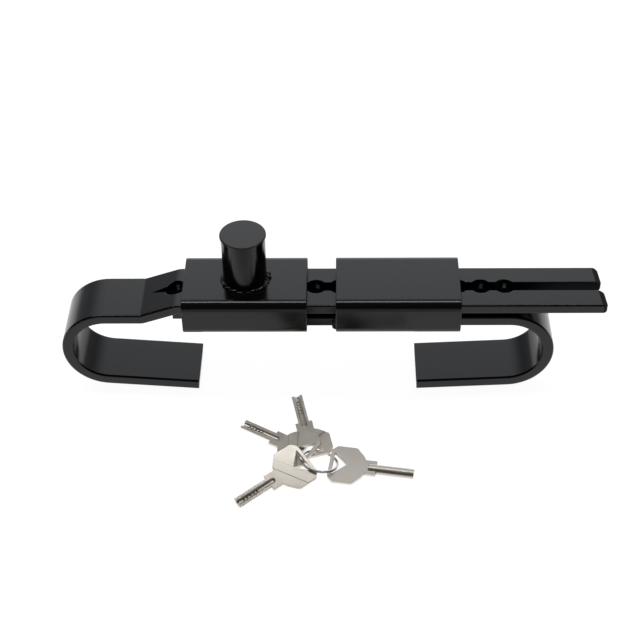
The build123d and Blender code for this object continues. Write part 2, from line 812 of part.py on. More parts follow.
# Key: a flat bow with a three-cornered hole, a bare diagonal band, a collar and a half-round blade
key_front = key_thickness / 2
bow_half = [
    (0, key_bow_end_width / 2),
    (key_bow_shoulder, key_bow_width / 2),
    (key_narrowing_start, key_bow_width / 2),
    (key_root_from_end, key_root_width / 2),
    (key_neck_from_end, key_neck_width / 2),
    (key_collar_from_end, key_collar_width / 2),
]
bow_other_half = [(along, -across) for along, across in reversed(bow_half)]
dimple_row = [
    (key_length - key_first_dimple - step * key_dimple_pitch, 0, key_front - key_channel_depth)
    for step in range(pin_count)
]
with BuildPart() as key_blank:
    with BuildSketch(Plane.XY.offset(-key_front)) as bow_outline:
        with BuildLine():
            Polyline(bow_half + bow_other_half + bow_half[:1])
        make_face()
        fillet(bow_outline.vertices().filter_by_position(Axis.X, 0, key_narrowing_start), key_bow_corner)
        with BuildLine():
            Polyline(
                (key_hole_margin, -key_hole_width / 2),
                (key_hole_margin, key_hole_width / 2),
                (key_hole_margin + key_hole_depth, 0),
                (key_hole_margin, -key_hole_width / 2),
            )
        make_face(mode=Mode.SUBTRACT)
        hole_corners = [
            v for v in bow_outline.vertices()
            if key_hole_margin / 2 < v.X < key_narrowing_start and abs(v.Y) < key_bow_end_width / 2
        ]
        fillet(hole_corners, key_hole_corner)
    extrude(amount=key_thickness)
    fillet(key_blank.faces().filter_by(Axis.Z).edges(), key_edge_radius)
    with BuildSketch(Plane.XY.offset(key_front)):
        offset(bow_outline.sketch_local, amount=-key_edge_radius)
        with Locations((key_band_from_end, 0)):
            Rectangle(
                2 * key_bow_width,
                key_band_width,
                rotation=key_band_angle,
                mode=Mode.INTERSECT,
            )
    extrude(amount=key_band_height)
    with BuildSketch(Plane.YZ.offset(key_blade_start)):
        with Locations((0, key_front)):
            Circle(key_blade_radius)
            Rectangle(
                2 * key_blade_radius,
                key_blade_radius,
                align=(Align.CENTER, Align.MAX),
                mode=Mode.INTERSECT,
            )
    extrude(amount=key_length - key_blade_start)
    channel_height = key_front + key_channel_radius - key_channel_depth
    with BuildSketch(Plane.YZ.offset(key_channel_start)):
        with Locations((0, channel_height)):
            Circle(key_channel_radius)
    extrude(amount=key_length, mode=Mode.SUBTRACT)
    with Locations((key_channel_start, 0, channel_height)):
        Sphere(key_channel_radius, mode=Mode.SUBTRACT)
    with Locations(dimple_row):
        Sphere(key_dimple_radius, mode=Mode.SUBTRACT)


def laid(along, back, height, heading, pitch, roll):
    """Place beside the ring's spot, from its distances, its height above the floor and its three turns."""
    spot = Pos(ring_spot_x + along, ring_spot_y + back, floor_z + height)
    return spot * Rot(0, 0, heading) * Rot(0, pitch, 0) * Rot(roll, 0, 0)


with BuildPart() as key_1:
    with Locations(laid(key_1_x, key_1_y, key_1_height, key_1_heading, key_1_pitch, key_1_roll)):
        add(key_blank.part)
key_1.part.label = "key_1"

with BuildPart() as key_2:
    with Locations(laid(key_2_x, key_2_y, key_2_height, key_2_heading, key_2_pitch, key_2_roll)):
        add(key_blank.part)
key_2.part.label = "key_2"

with BuildPart() as key_3:
    with Locations(laid(key_3_x, key_3_y, key_3_height, key_3_heading, key_3_pitch, key_3_roll)):
        add(key_blank.part)
key_3.part.label = "key_3"

with BuildPart() as key_4:
    with Locations(laid(key_4_x, key_4_y, key_4_height, key_4_heading, key_4_pitch, key_4_roll)):
        add(key_blank.part)
key_4.part.label = "key_4"

# Key ring, threaded through all four bows
with BuildPart() as key_ring:
    with Locations(laid(0, 0, ring_spot_height, 0, ring_swing, ring_tilt)):
        Torus((ring_diameter - ring_wire) / 2, ring_wire / 2)
key_ring.part.label = "key_ring"

os.makedirs("parts", exist_ok=True)
pieces = (
    plain_hook_bar,
    slotted_hook_bar,
    lock_sleeve,
    guide_sleeve,
    lock_spacer,
    guide_spacer,
    guide_sleeve_welds,
    lock_sleeve_weld,
    cylinder_housing,
    housing_foot_weld,
    dust_cap,
    guide_bush,
    lock_bolt,
    bolt_cross_pin,
    lock_barrel,
    barrel_guide_pin,
    bolt_spring,
    key_plug,
    plug_retaining_ring,
    locking_tongue,
    key_pins,
    driver_pins,
    driver_springs,
    pin_cover,
    key_1,
    key_2,
    key_3,
    key_4,
    key_ring,
)
for piece in pieces:
    export_step(piece.part, f"parts/{piece.part.label}.step")
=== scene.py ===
import json
from math import cos, radians, sin

import bpy
import numpy as np
from bpy.props import FloatProperty, FloatVectorProperty, PointerProperty, StringProperty
from mathutils import Matrix, Vector


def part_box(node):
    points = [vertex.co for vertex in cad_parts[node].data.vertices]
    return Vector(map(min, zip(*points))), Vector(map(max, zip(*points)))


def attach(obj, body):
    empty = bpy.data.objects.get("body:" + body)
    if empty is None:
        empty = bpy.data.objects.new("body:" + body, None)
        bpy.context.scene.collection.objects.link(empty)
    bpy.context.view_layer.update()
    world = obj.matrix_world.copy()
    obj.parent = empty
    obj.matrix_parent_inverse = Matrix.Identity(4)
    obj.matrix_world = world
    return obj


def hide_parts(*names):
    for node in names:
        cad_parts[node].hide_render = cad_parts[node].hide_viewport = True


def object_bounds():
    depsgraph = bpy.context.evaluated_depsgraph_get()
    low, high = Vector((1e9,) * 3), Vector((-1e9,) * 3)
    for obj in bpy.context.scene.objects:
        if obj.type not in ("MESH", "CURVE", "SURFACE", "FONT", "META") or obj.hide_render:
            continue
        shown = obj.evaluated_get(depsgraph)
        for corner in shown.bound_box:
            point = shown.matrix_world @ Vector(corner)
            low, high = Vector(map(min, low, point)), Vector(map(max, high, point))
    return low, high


bl_info = {
    "name": "Container lock dressing",
    "version": (1, 0, 0),
    "blender": (4, 5, 0),
    "location": "View3D > Sidebar > Container lock",
    "description": "Gives the packed container lock its finishes, weld beads, split ring, light and camera",
    "category": "Object",
}

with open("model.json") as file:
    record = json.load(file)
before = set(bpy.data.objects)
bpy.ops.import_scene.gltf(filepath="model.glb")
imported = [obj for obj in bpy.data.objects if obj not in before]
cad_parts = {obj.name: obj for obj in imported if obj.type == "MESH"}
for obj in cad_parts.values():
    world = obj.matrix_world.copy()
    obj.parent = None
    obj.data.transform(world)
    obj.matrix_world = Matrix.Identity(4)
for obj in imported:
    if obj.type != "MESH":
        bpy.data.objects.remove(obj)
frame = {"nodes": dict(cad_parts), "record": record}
CAD_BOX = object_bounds()

MM = 0.001
FULL_TURN = 2 * np.pi

# The body that each CAD node belongs to, as the record lists them
BODY_OF = {
    node: body
    for body, nodes in frame["record"]["behaviour"]["bodies"].items()
    for node in nodes
}
# The record's material slot that each CAD node came with
SLOT_OF = {node: obj.data.materials[0].name for node, obj in frame["nodes"].items()}

# Sockets of the Mix node in its colour form
MIX_SHARE, MIX_FIRST, MIX_SECOND = 0, 6, 7
MIX_RESULT = 2

# Refractive index of the baked polyester coat
COAT_IOR = 1.42

# Where the finish of the slot and keyholes is looked for: how far to each side of the bar's middle, and
# above which height
SLOT_REACH = (-7.2 * MM, 7.2 * MM)
SLOT_FLOOR = 24 * MM
# Length of the ground end of a prong
PRONG_END = 8 * MM
# Soft edges of a finish, as a length and as a share of a surface's direction
FINISH_EDGE = 0.2 * MM
FACING_EDGE = 0.1

# The painted highlight down the back wall of each keyhole: which part of the back wall, how far it starts
# below the bar's top, how softly it fades upwards, and the sideways facing of the wall that it covers
HIGHLIGHT_BACK = (5.2 * MM, 7.0 * MM)
HIGHLIGHT_DROP = 5 * MM
HIGHLIGHT_FADE = 2.2 * MM
HIGHLIGHT_FACING = (-0.2, -0.06)
HIGHLIGHT_SOFTNESS = 0.16

# The flame's scale under the coat: pitch, depth, and the gloss and shine of the coat on it
SCALE_PITCH = 0.9 * MM
SCALE_DEPTH = 0.25 * MM
SCALE_ROUGHNESS = 0.5
COAT_SHINE, SCALE_SHINE = 0.5, 0.1

# Handling marks on bare metal: their pitch, and by which share they change the roughness
DRIFT_PITCH = 6 * MM
DRIFT_SHARE = 0.2
# Lathe rings run round the upright axis, so the marks are ten times as long across it
LATHE_RINGS = (0.1, 0.1, 1.0)

# A hand-laid bead wanders in its ripples and in its size. Each wave has a height, a count along the
# bead, and how much of the bead's own seed shifts it.
WANDER_WAVES = ((0.3, 3, 1), (0.2, 5, 2))
SIZE_WAVES = ((0.07, 3, 1), (0.06, 7, 0))


# Shader helpers

def linear(hex_colour):
    """sRGB hex such as #1a1b1c to linear RGBA, by the sRGB transfer curve."""
    parts = np.array([int(hex_colour[i:i + 2], 16) for i in (1, 3, 5)]) / 255
    low = parts / 12.92
    high = ((parts + 0.055) / 1.055) ** 2.4
    return (*np.where(parts <= 0.04045, low, high), 1.0)


def add_node(tree, kind, inputs=None, **settings):
    """Adds one shader node, sets its properties, then sets or links its inputs."""
    node = tree.nodes.new(kind)
    for key, value in settings.items():
        setattr(node, key, value)
    for socket, value in (inputs or {}).items():
        if isinstance(value, bpy.types.NodeSocket):
            tree.links.new(value, node.inputs[socket])
        else:
            node.inputs[socket].default_value = value
    return node


def new_material(name):
    """An empty node material, its tree and the Object coordinates of the piece it is on."""
    material = bpy.data.materials.new(name)
    material.use_nodes = True
    tree = material.node_tree
    tree.nodes.clear()
    place = add_node(tree, "ShaderNodeTexCoord").outputs["Object"]
    return material, tree, place


def grain(tree, place, pitch, detail=2.0, stretch=(1.0, 1.0, 1.0)):
    """Value noise with grains pitch metres apart, longer along an axis where stretch is below 1."""
    spread = add_node(tree, "ShaderNodeVectorMath", {0: place, 1: stretch}, operation="MULTIPLY")
    noise = add_node(
        tree,
        "ShaderNodeTexNoise",
        {"Vector": spread.outputs["Vector"], "Scale": 1 / pitch, "Detail": detail},
    )
    return noise.outputs["Fac"]


def within(tree, value, span, soft, share=1.0):
    """The share where the value lies in the span, 0 outside it, with edges soft wide."""
    low, high = span
    rise = add_node(
        tree,
        "ShaderNodeMapRange",
        {"Value": value, "From Min": low - soft, "From Max": low, "To Max": share},
    )
    fall = add_node(
        tree,
        "ShaderNodeMapRange",
        {
            "Value": value,
            "From Min": high,
            "From Max": high + soft,
            "To Min": rise.outputs["Result"],
            "To Max": 0.0,
        },
    )
    return fall.outputs["Result"]


def lay_metal(tree, place, colour, roughness, pitch, depth, stretch=(1.0, 1.0, 1.0)):
    """Bare metal with fine marks pitch metres apart, and a roughness that drifts a little."""
    drift = add_node(
        tree,
        "ShaderNodeMapRange",
        {
            "Value": grain(tree, place, DRIFT_PITCH),
            "To Min": roughness * (1 - DRIFT_SHARE),
            "To Max": roughness * (1 + DRIFT_SHARE),
        },
    )
    marks = add_node(
        tree,
        "ShaderNodeBump",
        {"Height": grain(tree, place, pitch, stretch=stretch), "Distance": depth, "Strength": 1.0},
    )
    shader = add_node(
        tree,
        "ShaderNodeBsdfPrincipled",
        {
            "Base Color": colour,
            "Metallic": 1.0,
            "Roughness": drift.outputs["Result"],
            "Normal": marks.outputs["Normal"],
        },
    )
    add_node(tree, "ShaderNodeOutputMaterial", {"Surface": shader.outputs["BSDF"]})


def worn_metal(name, colour, roughness, pitch, depth, stretch=(1.0, 1.0, 1.0)):
    """A material of bare metal in one colour."""
    material, tree, place = new_material(name)
    lay_metal(tree, place, linear(colour), roughness, pitch, depth, stretch)
    return material


# Mesh helpers

def mesh_piece(name, points, faces, body, material):
    """One mesh object at the origin, riding on a body of the frame, in the given material."""
    mesh = bpy.data.meshes.new(name)
    mesh.from_pydata(points.tolist(), [], faces)
    mesh.validate()
    mesh.polygons.foreach_set("use_smooth", np.ones(len(mesh.polygons), bool))
    mesh.materials.append(material)
    piece = bpy.data.objects.new(name, mesh)
    bpy.context.scene.collection.objects.link(piece)
    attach(piece, body)
    return piece


def grid_faces(rows, columns, rows_closed, columns_closed):
    """Quads between the neighbours of a rows by columns grid of points, numbered row by row."""
    index = np.arange(rows * columns).reshape(rows, columns)
    if rows_closed:
        index = np.vstack([index, index[:1]])
    if columns_closed:
        index = np.hstack([index, index[:, :1]])
    corners = [index[:-1, :-1], index[1:, :-1], index[1:, 1:], index[:-1, 1:]]
    return np.stack(corners, axis=-1).reshape(-1, 4).tolist()


def end_fans(rows, columns):
    """Triangles from the grid's first and last rows to two pole points numbered after the grid."""
    first_pole = rows * columns
    last_pole = first_pole + 1
    last_row = (rows - 1) * columns
    here = np.arange(columns)
    following = (here + 1) % columns
    first = np.stack([np.full(columns, first_pole), here, following], axis=-1)
    last = np.stack([np.full(columns, last_pole), last_row + following, last_row + here], axis=-1)
    return first.tolist() + last.tolist()


def face_outward(piece):
    """Turns the faces of one closed piece outward, by the sign of the volume that they enclose."""
    mesh = piece.data
    mesh.calc_loop_triangles()
    corners = np.zeros(len(mesh.loop_triangles) * 3, np.int32)
    mesh.loop_triangles.foreach_get("vertices", corners)
    points = np.zeros(len(mesh.vertices) * 3, np.float32)
    mesh.vertices.foreach_get("co", points)
    a, b, c = points.reshape(-1, 3)[corners.reshape(-1, 3)].transpose(1, 0, 2)
    if np.einsum("ij,ij->", a, np.cross(b, c)) < 0:
        mesh.flip_normals()


def node_points(node):
    """Places of a CAD node's vertices, as rows."""
    mesh = frame["nodes"][node].data
    points = np.zeros(len(mesh.vertices) * 3, np.float32)
    mesh.vertices.foreach_get("co", points)
    return points.reshape(-1, 3).astype(float)


def paint(nodes, material):
    """Puts one material on CAD nodes."""
    for node in nodes:
        mesh = frame["nodes"][node].data
        mesh.materials.clear()
        mesh.materials.append(material)


def nodes_in(slot):
    """The CAD nodes in one material slot of the record."""
    return [node for node, its_slot in SLOT_OF.items() if its_slot == slot]


# Settings that a user would change

class CoatSettings(bpy.types.PropertyGroup):
    colour: StringProperty(
        name="Coat colour", description="sRGB hex of the powder coat", default="#090909"
    )
    roughness: FloatProperty(
        name="Roughness", description="Gloss of the coat, 0 mirror to 1 matt",
        default=0.17, min=0, max=1,
    )
    peel_pitch: FloatProperty(
        name="Peel pitch", description="Distance between the waves of the orange peel",
        default=1.6 * MM, unit="LENGTH",
    )
    peel_depth: FloatProperty(
        name="Peel depth", description="Height of the orange peel",
        default=0.006 * MM, unit="LENGTH", precision=6,
    )
    # Near-white colour of the painted highlight down the back wall of each keyhole
    keyhole_highlight_colour: StringProperty(
        name="Rubbed colour", description="sRGB hex of the painted highlight in the keyholes",
        default="#f4f3f0",
    )


class BeadSettings(bpy.types.PropertyGroup):
    foot_size: FloatProperty(
        name="Foot bead", description="Leg of the bead at the housing's foot",
        default=2.3 * MM, unit="LENGTH",
    )
    sleeve_size: FloatProperty(
        name="Sleeve bead", description="Leg of the beads at the guide sleeve",
        default=2.8 * MM, unit="LENGTH",
    )
    ripple_pitch: FloatProperty(
        name="Ripple pitch", description="Distance between two ripples of a bead",
        default=6.2 * MM, unit="LENGTH",
    )
    ripple_depth: FloatProperty(
        name="Ripple depth", description="Share of a bead's size between crest and valley",
        default=0.28, min=0, max=1,
    )


class RingSettings(bpy.types.PropertyGroup):
    colour: StringProperty(
        name="Wire colour", description="sRGB hex of the nickel plating", default="#c9c8c4"
    )
    wire_width: FloatProperty(
        name="Wire width", description="Width of the flattened wire across the ring",
        default=1.5 * MM, unit="LENGTH",
    )
    wire_height: FloatProperty(
        name="Wire height", description="Height of one turn of the wire",
        default=0.78 * MM, unit="LENGTH",
    )
    crossing: FloatProperty(
        name="Crossing", description="Arc on which the wire passes from one turn to the other",
        default=0.5, subtype="ANGLE",
    )
    opening: FloatProperty(
        name="Opening", description="Where around the ring the wire's ends lie",
        default=radians(40), subtype="ANGLE",
    )


class KeySettings(bpy.types.PropertyGroup):
    colour: StringProperty(
        name="Key colour", description="sRGB hex of the nickel silver", default="#dcd5ca"
    )
    # Colour of the painted shade that darkens the corners
    corner_shade_colour: StringProperty(
        name="Corner colour", description="sRGB hex of the metal in the corners", default="#4c463f"
    )
    roughness: FloatProperty(
        name="Roughness", description="Gloss of the tumbled metal, 0 mirror to 1 matt",
        default=0.38, min=0, max=1,
    )
    # How far from a corner the painted shade reaches
    corner_shade_reach: FloatProperty(
        name="Corner reach", description="How far from a corner the metal stays dark",
        default=0.7 * MM, unit="LENGTH",
    )


class WorksSettings(bpy.types.PropertyGroup):
    brass_colour: StringProperty(
        name="Brass colour", description="sRGB hex of the turned brass", default="#c9a24e"
    )
    steel_colour: StringProperty(
        name="Steel colour", description="sRGB hex of the turned steel", default="#a9aaab"
    )
    ground_colour: StringProperty(
        name="Ground colour", description="sRGB hex of the hardened steel", default="#8f9192"
    )
    spring_colour: StringProperty(
        name="Spring colour", description="sRGB hex of the springs' wire", default="#77797b"
    )


class StageSettings(bpy.types.PropertyGroup):
    camera_place: FloatVectorProperty(
        name="Camera place", description="Where the camera stands",
        default=(-0.1118, -0.7401, 0.66145), subtype="TRANSLATION",
    )
    elevation: FloatProperty(
        name="Elevation", description="How far the camera looks down",
        default=radians(41.27), subtype="ANGLE",
    )
    heading: FloatProperty(
        name="Heading", description="How far the camera is turned from square on",
        default=radians(1.193), subtype="ANGLE",
    )
    roll: FloatProperty(
        name="Roll", description="How far the camera leans",
        default=radians(-0.903), subtype="ANGLE",
    )
    lens: FloatProperty(
        name="Focal length", description="Focal length on a 36 mm wide sensor",
        default=80.985, subtype="DISTANCE_CAMERA",
    )
    floor_colour: StringProperty(
        name="Floor colour", description="sRGB hex of the floor's paper", default="#f2f2f2"
    )
    flag_colour: StringProperty(
        name="Flag colour", description="sRGB hex of the card that shades the keys", default="#050505"
    )
    floor_drop: FloatProperty(
        name="Floor gap", description="Gap between the object's lowest point and the floor",
        default=0.02 * MM, unit="LENGTH",
    )
    far_floor: FloatProperty(
        name="Far floor", description="Where along Y the floor's glow has faded",
        default=-0.17, unit="LENGTH",
    )
    near_floor: FloatProperty(
        name="Near floor", description="Where along Y the floor's glow is full",
        default=-0.1, unit="LENGTH",
    )
    sky_strength: FloatProperty(
        name="Sky", description="Strength of the white sky behind", default=1.6
    )
    strip_power: FloatProperty(
        name="Strip power", description="Power of the strip light in watts", default=14.0
    )
    strip_place: FloatVectorProperty(
        name="Strip place", description="Where the strip light hangs",
        default=(-0.12, 0.13, 1.5), subtype="TRANSLATION",
    )
    strip_aim: FloatVectorProperty(
        name="Strip aim", description="The point that the strip light faces",
        default=(-0.12, 0.0, 0.04), subtype="TRANSLATION",
    )
    strip_length: FloatProperty(
        name="Strip length", description="Length of the strip light", default=2.4, unit="LENGTH"
    )
    strip_width: FloatProperty(
        name="Strip width", description="Width of the strip light", default=0.2, unit="LENGTH"
    )


SETTINGS = {
    "lock_coat": CoatSettings,
    "lock_beads": BeadSettings,
    "lock_ring": RingSettings,
    "lock_keys": KeySettings,
    "lock_works": WorksSettings,
    "lock_stage": StageSettings,
}


# Coat

def coat_material(name, settings, peel_depth):
    """Satin black polyester powder coat, sprayed and baked: near black, with its own soft shine.

    The baked powder flows into a faint orange peel, which wavers the long highlights on the bends.
    """
    material, tree, place = new_material(name)
    peel = add_node(
        tree,
        "ShaderNodeBump",
        {"Height": grain(tree, place, settings.peel_pitch), "Distance": peel_depth, "Strength": 1.0},
    )
    shader = add_node(
        tree,
        "ShaderNodeBsdfPrincipled",
        {
            "Base Color": linear(settings.colour),
            "Roughness": settings.roughness,
            "IOR": COAT_IOR,
            "Normal": peel.outputs["Normal"],
        },
    )
    add_node(tree, "ShaderNodeOutputMaterial", {"Surface": shader.outputs["BSDF"]})
    return material


def cut_walls(tree, facing, spot):
    """1 on the slot's flame-cut walls and on the ground ends of the prongs, 0 on the rest of the bar."""
    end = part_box("slotted_hook_bar")[1]
    upright = (-0.5, 0.5)
    rightward = (0.2, 1.0)
    slot_edge = 1 * MM
    walls = within(tree, facing["Z"], upright, FACING_EDGE)
    walls = within(tree, spot["Y"], SLOT_REACH, FINISH_EDGE, walls)
    walls = within(tree, spot["Z"], (SLOT_FLOOR, end.z), slot_edge, walls)
    ends = within(tree, facing["X"], rightward, FACING_EDGE)
    ends = within(tree, spot["X"], (end.x - PRONG_END, end.x), FINISH_EDGE, ends)
    both = add_node(tree, "ShaderNodeMath", {0: walls, 1: ends}, operation="MAXIMUM")
    return both.outputs["Value"]


def painted_keyhole_highlights(tree, facing, spot):
    """1 on the painted highlight down the back wall of each keyhole, 0 elsewhere."""
    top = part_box("slotted_hook_bar")[1].z
    upright = (-0.3, 0.3)
    back_edge = 0.1 * MM
    lines = within(tree, facing["X"], HIGHLIGHT_FACING, HIGHLIGHT_SOFTNESS)
    lines = within(tree, facing["Z"], upright, FACING_EDGE, lines)
    lines = within(tree, spot["Y"], HIGHLIGHT_BACK, back_edge, lines)
    return within(tree, spot["Z"], (SLOT_FLOOR, top - HIGHLIGHT_DROP), HIGHLIGHT_FADE, lines)


def bar_material(settings):
    """The same coat on the slotted bar, whose flame-cut slot and ground ends stay rough under it.

    The coat lies thin and matt over the cut's scale, so those walls swallow the light. A near-white painted
    highlight runs down the back of each keyhole.
    """
    material, tree, place = new_material("powder_coat_on_cut_bar")
    normal = add_node(tree, "ShaderNodeTexCoord").outputs["Normal"]
    facing = add_node(tree, "ShaderNodeSeparateXYZ", {"Vector": normal}).outputs
    spot = add_node(tree, "ShaderNodeSeparateXYZ", {"Vector": place}).outputs
    cut = cut_walls(tree, facing, spot)
    # Painted highlight: a near-white colour is mixed in down the back wall of each keyhole
    colour = add_node(
        tree,
        "ShaderNodeMix",
        {
            MIX_SHARE: painted_keyhole_highlights(tree, facing, spot),
            MIX_FIRST: linear(settings.colour),
            MIX_SECOND: linear(settings.keyhole_highlight_colour),
        },
        data_type="RGBA",
    )
    roughness = add_node(
        tree,
        "ShaderNodeMapRange",
        {"Value": cut, "To Min": settings.roughness, "To Max": SCALE_ROUGHNESS},
    )
    shine = add_node(
        tree, "ShaderNodeMapRange", {"Value": cut, "To Min": COAT_SHINE, "To Max": SCALE_SHINE}
    )
    peel = add_node(
        tree,
        "ShaderNodeBump",
        {
            "Height": grain(tree, place, settings.peel_pitch),
            "Distance": settings.peel_depth,
            "Strength": 1.0,
        },
    )
    scale = add_node(
        tree,
        "ShaderNodeMath",
        {0: grain(tree, place, SCALE_PITCH, detail=4.0), 1: cut},
        operation="MULTIPLY",
    )
    surface = add_node(
        tree,
        "ShaderNodeBump",
        {
            "Height": scale.outputs["Value"],
            "Distance": SCALE_DEPTH,
            "Strength": 1.0,
            "Normal": peel.outputs["Normal"],
        },
    )
    shader = add_node(
        tree,
        "ShaderNodeBsdfPrincipled",
        {
            "Base Color": colour.outputs[MIX_RESULT],
            "Roughness": roughness.outputs["Result"],
            "Specular IOR Level": shine.outputs["Result"],
            "IOR": COAT_IOR,
            "Normal": surface.outputs["Normal"],
        },
    )
    add_node(tree, "ShaderNodeOutputMaterial", {"Surface": shader.outputs["BSDF"]})
    return material


class LOCK_OT_coat(bpy.types.Operator):
    """Coats the bars, sleeves, housing and cap"""

    bl_idname = "container_lock.coat"
    bl_label = "Coat the steel"

    def execute(self, context):
        settings = context.scene.lock_coat
        coat = coat_material("powder_coat", settings, settings.peel_depth)
        paint(nodes_in("black_powder_coat"), coat)
        paint(["slotted_hook_bar"], bar_material(settings))
        return {"FINISHED"}


# Weld beads

def waves(around, seed, parts):
    """Sum of sines along a bead, from each one's height, count and share of the seed."""
    return sum(height * np.sin(count * around + share * seed) for height, count, share in parts)


def bead_points(seam, size, pitch, depth, taper, seed):
    """Surface of a rippled fillet weld in the corner between two faces.

    The seam is the corner line, the directions of the two faces away from it, and its arc length.
    At arc length s and turn t from 0 to pi/2 a point lies at
    corner(s) + r(s, t) * (cos t * reach_a(s) + sin t * reach_b(s)), with
    r = size * taper(s) * (1 - depth * (1 - |sin(pi * p)|) - |drift(s)|). The phase p = s / pitch lags
    with t, so that each lump is a crescent, and wanders with s, as a hand-held torch does.
    The last column is the corner itself, which closes the section.
    """
    section_points = 13
    crescent = 0.35
    corner, reach_a, reach_b, along = seam
    turns = np.linspace(0, np.pi / 2, section_points)
    lag = crescent * np.sin(2 * turns)
    length = along[-1] + (along[1] - along[0])
    around = FULL_TURN * along / length
    wander = waves(around, seed, WANDER_WAVES)
    phase = (along / pitch + wander)[:, None] + lag[None, :]
    drift = waves(around, seed, SIZE_WAVES)
    crest = 1 - depth * (1 - np.abs(np.sin(np.pi * phase))) - np.abs(drift)[:, None]
    radius = size * taper[:, None] * crest
    flat_share = np.cos(turns)[None, :, None]
    upright_share = np.sin(turns)[None, :, None]
    arc = reach_a[:, None, :] * flat_share + reach_b[:, None, :] * upright_share
    surface = corner[:, None, :] + radius[:, :, None] * arc
    return np.concatenate([surface, corner[:, None, :]], axis=1)


def lay_bead(name, seam, size, settings, taper, closed, material, seed):
    """One bead as a closed piece on the main bar, along a seam, which may close on itself."""
    along = seam[-1]
    length = along[-1] + (along[1] - along[0]) * closed
    ripples = max(2, round(length / settings.ripple_pitch))
    points = bead_points(seam, size, length / ripples, settings.ripple_depth, taper, seed)
    rows, columns = points.shape[:2]
    flat = points.reshape(-1, 3)
    faces = grid_faces(rows, columns, closed, True)
    if not closed:
        flat = np.concatenate([flat, points[[0, -1]].mean(axis=1)])
        faces += end_fans(rows, columns)
    piece = mesh_piece(name, flat, faces, "main_bar", material)
    face_outward(piece)
    return piece


def lay_foot_bead(settings, material):
    """The bead round the housing's foot, which ends in a wider lump a little behind the right side."""
    steps = 720
    lump_place = radians(14)
    lump_reach = 0.2
    lump_share = 0.75
    low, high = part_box("cylinder_housing")
    centre = (low + high) / 2
    radius = (high.x - low.x) / 2
    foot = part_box("housing_foot_weld")[0].z
    turns = np.linspace(0, FULL_TURN, steps, endpoint=False)
    outward = np.stack([np.cos(turns), np.sin(turns), np.zeros_like(turns)], axis=-1)
    upward = np.tile((0.0, 0.0, 1.0), (steps, 1))
    corner = np.array((centre.x, centre.y, foot)) + radius * outward
    from_lump = np.angle(np.exp(1j * (turns - lump_place)))
    swell = 1 + lump_share * np.exp(-((from_lump / lump_reach) ** 2))
    seam = (corner, outward, upward, turns * radius)
    piece = lay_bead("foot_bead", seam, settings.foot_size, settings, swell, True, material, 0.0)
    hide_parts("housing_foot_weld")


def lay_sleeve_beads(settings, material):
    """The two upright beads where the guide sleeve's end meets the edges of the plain bar."""
    steps = 96
    margin = 0.01
    bluntness = 1.2
    low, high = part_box("guide_sleeve_welds")
    bar_low, bar_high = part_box("plain_hook_bar")
    height = high.z - low.z
    rise = np.linspace(0, 1, steps)
    taper = np.sqrt(np.sin(np.pi * np.clip(rise, margin, 1 - margin)))
    taper = np.clip(bluntness * taper, 0, 1)
    upward = np.array((0.0, 0.0, 1.0))
    away = np.tile((-1.0, 0.0, 0.0), (steps, 1))
    sides = (("front_bead", -1.0, bar_low.y, 0.4), ("back_bead", 1.0, bar_high.y, 2.0))
    for name, side, edge, seed in sides:
        corner = np.array((high.x, edge, low.z)) + rise[:, None] * height * upward
        aside = np.tile((0.0, side, 0.0), (steps, 1))
        seam = (corner, away, aside, rise * height)
        piece = lay_bead(name, seam, settings.sleeve_size, settings, taper, False, material, seed)
        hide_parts("guide_sleeve_welds")


class LOCK_OT_beads(bpy.types.Operator):
    """Lays the weld beads at the housing's foot and beside the guide sleeve"""

    bl_idname = "container_lock.beads"
    bl_label = "Lay the weld beads"

    def execute(self, context):
        coat = context.scene.lock_coat
        beads = context.scene.lock_beads
        # The coat flows less evenly over a bead, so its peel is twice as deep there
        material = coat_material("coated_weld", coat, coat.peel_depth * 2)
        paint(["lock_sleeve_weld"], material)
        lay_foot_bead(beads, material)
        lay_sleeve_beads(beads, material)
        return {"FINISHED"}


# Key ring and keys

def flattened(values, squareness):
    """A circle's cosines or sines, pushed outward into those of a superellipse."""
    return np.sign(values) * np.abs(values) ** squareness


